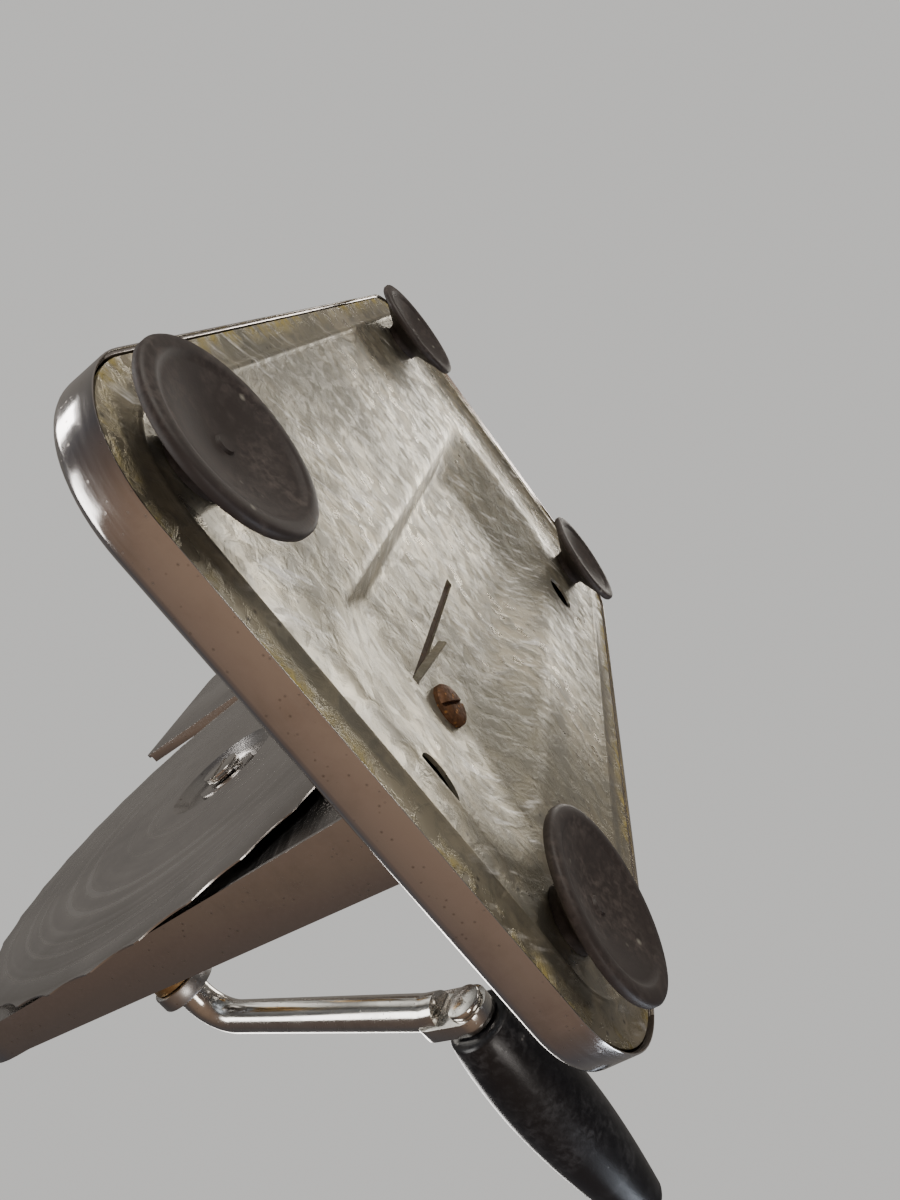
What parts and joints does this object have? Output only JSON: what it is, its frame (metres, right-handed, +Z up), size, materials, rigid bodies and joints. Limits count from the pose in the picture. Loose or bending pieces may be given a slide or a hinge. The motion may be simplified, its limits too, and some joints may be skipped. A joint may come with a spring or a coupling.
{
  "type": "hand-crank food slicer",
  "caption": "Hand-crank food slicer: scalloped round blade on a sheet-metal upright, geared crank, thickness gauge, sliding tray, flat chromed base on rubber suction feet.",
  "frame": {"origin": "on the table, under the middle of the base, at the height of the suction cups' rims", "axes": "+X to the crank side, -Y to the user's side, +Z up"},
  "size_m": [0.249, 0.305, 0.207],
  "materials": {
    "chrome_plate": "bright chrome plating, pitted and stained with age",
    "galvanised_sheet": "galvanised sheet, dull, streaked and stained",
    "rubber": "old matte rubber, dusty",
    "rusted_steel": "rusted slotted screw",
    "stainless_sheet": "polished stainless sheet with fine brushing",
    "plain_steel": "plain machined steel",
    "nickel_plate": "nickel plating",
    "bronze": "sintered bronze",
    "gear_steel": "cut steel gear, greased",
    "blade_steel": "stainless blade with fine circular polishing",
    "black_plastic": "black moulded plastic, scuffed",
    "cast_alloy": "die-cast alloy",
    "nylon": "natural nylon"
  },
  "bodies": {
    "base": {"base_shell": "chrome_plate", "bottom_plate": "galvanised_sheet", "foot_rear_left": "rubber", "foot_rear_right": "rubber", "foot_front_left": "rubber", "foot_front_right": "rubber", "base_screws": "rusted_steel", "upright_front": "stainless_sheet", "foot_bar": "plain_steel", "cover_posts": "plain_steel", "gear_cover": "stainless_sheet", "cover_screws": "nickel_plate", "front_bushing": "bronze", "rear_bushing": "bronze", "crank_bushing": "bronze", "gauge_support": "cast_alloy", "carriage_rail": "nickel_plate", "rail_posts": "cast_alloy", "rail_screws": "plain_steel"},
    "blade_unit": {"blade": "blade_steel", "blade_washer": "nickel_plate", "blade_screw": "nickel_plate", "blade_shaft": "plain_steel", "blade_pinion": "gear_steel", "shaft_nut": "plain_steel"},
    "crank": {"crank_arm": "nickel_plate", "crank_gear": "gear_steel", "crank_collar": "nickel_plate", "handle_pin": "plain_steel"},
    "handle": {"crank_handle": "black_plastic"},
    "gauge": {"gauge_plate": "stainless_sheet", "gauge_carrier": "plain_steel", "gauge_rods": "plain_steel"},
    "gauge_screw": {"gauge_spindle": "plain_steel", "gauge_knob": "black_plastic"},
    "carriage": {"tray": "stainless_sheet", "carriage_slider": "cast_alloy", "tray_glide": "nylon", "tray_screws": "nickel_plate", "pusher_brackets": "cast_alloy", "pusher_rod": "nickel_plate"},
    "pusher": {"pusher_block": "cast_alloy", "pusher_plate": "stainless_sheet", "pusher_knob": "black_plastic"}
  },
  "joints": [
    {"name": "crank_turn", "type": "hinge", "parent": "base", "child": "crank", "pos_m": [0, 0.08111, 0.14553], "axis": [1, 0, 0], "continuous": true},
    {"name": "blade_spin", "type": "hinge", "parent": "base", "child": "blade_unit", "pos_m": [0, 0.04, 0.1141], "axis": [1, 0, 0], "continuous": true},
    {"name": "handle_spin", "type": "hinge", "parent": "crank", "child": "handle", "pos_m": [0.08335, 0.10868, 0.05702], "axis": [1, 0, 0], "continuous": true},
    {"name": "gauge_slide", "type": "slide", "parent": "base", "child": "gauge", "axis": [1, 0, 0], "range_m": [0, 0.012]},
    {"name": "gauge_turn", "type": "hinge", "parent": "gauge", "child": "gauge_screw", "pos_m": [0.07, -0.11, 0.0625], "axis": [1, 0, 0], "range_deg": [0, 1440]},
    {"name": "carriage_slide", "type": "slide", "parent": "base", "child": "carriage", "axis": [0, 1, 0], "range_m": [0, 0.125]},
    {"name": "pusher_slide", "type": "slide", "parent": "carriage", "child": "pusher", "axis": [1, 0, 0], "range_m": [0, 0.052]}
  ],
  "couplings": [
    {"joint": "blade_spin", "follows": "crank_turn", "ratio": -2},
    {"joint": "gauge_turn", "follows": "gauge_slide", "rad_per_m": 2094}
  ]
}
